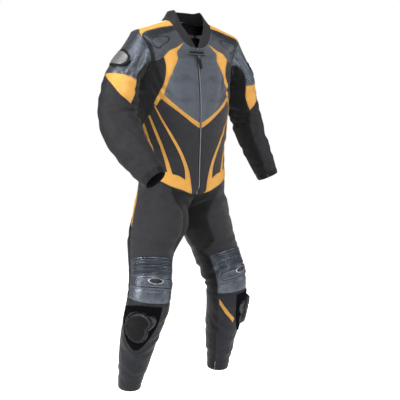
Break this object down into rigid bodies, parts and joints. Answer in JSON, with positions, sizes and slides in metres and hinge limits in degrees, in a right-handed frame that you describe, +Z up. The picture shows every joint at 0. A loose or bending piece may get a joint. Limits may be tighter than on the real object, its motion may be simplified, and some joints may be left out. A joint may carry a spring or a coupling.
{
  "type": "one-piece motorcycle racing suit",
  "caption": "Hollow one-piece leather and stretch-cloth racing suit in worn form, with collar, zip, shoulder plates, accordion knees and knee sliders.",
  "frame": {"origin": "the point between the shoulders at the base of the neck, 1.50 m above the ground on which the wearer stands, where the wearer's body carries the suit", "axes": "+Z up along the standing wearer, the front faces -Y, the wearer's left is +X"},
  "size_m": [0.7869, 0.3603, 1.4142],
  "materials": {
    "black_leather": "semi-matt",
    "black_rubber": "semi-matt",
    "black_stretch": "matt",
    "brushed_plate": "brushed",
    "charcoal_cloth": "matt",
    "grey_leather": "semi-gloss",
    "orange_leather": "semi-matt",
    "slider_plastic": "satin",
    "zip_metal": "dark satin"
  },
  "bodies": {
    "suit": {"back": "black_leather", "calf_left": "black_leather", "calf_right": "black_leather", "chest_left": "grey_leather", "chest_right": "grey_leather", "claw_left": "orange_leather", "claw_right": "orange_leather", "collar": "black_leather", "crotch_left": "black_stretch", "crotch_right": "black_stretch", "cuff_left": "black_leather", "cuff_right": "black_leather", "flare_left": "orange_leather", "flare_right": "orange_leather", "front_lower_left": "charcoal_cloth", "front_lower_right": "charcoal_cloth", "hip_side_left": "orange_leather", "hip_side_right": "orange_leather", "knee_cup_left": "grey_leather", "knee_cup_right": "grey_leather", "knee_flap_left": "grey_leather", "knee_flap_right": "grey_leather", "knee_ribs_left": "grey_leather", "knee_ribs_right": "grey_leather", "knee_slider_base_left": "charcoal_cloth", "knee_slider_base_right": "charcoal_cloth", "knee_slider_puck_left": "slider_plastic", "knee_slider_puck_right": "slider_plastic", "shin_left": "black_leather", "shin_right": "black_leather", "shin_stripe_left": "orange_leather", "shin_stripe_right": "orange_leather", "shoulder_front_left": "black_leather", "shoulder_front_right": "black_leather", "shoulder_plate_left": "brushed_plate", "shoulder_plate_right": "brushed_plate", "shoulder_rim_left": "black_rubber", "shoulder_rim_right": "black_rubber", "sleeve_flash_left": "orange_leather", "sleeve_flash_right": "orange_leather", "sleeve_inner_left": "black_stretch", "sleeve_inner_right": "black_stretch", "sleeve_outer_left": "black_leather", "sleeve_outer_right": "black_leather", "sleeve_upper_left": "grey_leather", "sleeve_upper_right": "grey_leather", "strap_tab": "black_leather", "stretch_side_left": "charcoal_cloth", "stretch_side_right": "charcoal_cloth", "thigh_back_left": "black_leather", "thigh_back_right": "black_leather", "thigh_front_left": "charcoal_cloth", "thigh_front_right": "charcoal_cloth", "v_stripe_left": "orange_leather", "v_stripe_right": "orange_leather", "yoke_left": "orange_leather", "yoke_right": "orange_leather", "zip": "zip_metal", "zip_slider": "zip_metal"},
    "pull": {"zip_pull": "zip_metal"}
  },
  "joints": [
    {"name": "zip_pull_hinge", "type": "hinge", "parent": "suit", "child": "pull", "pos_m": [0.00019, -0.10524, -0.09812], "axis": [-0.9903, -0.0233, -0.1372], "range_deg": [0, 150]}
  ]
}
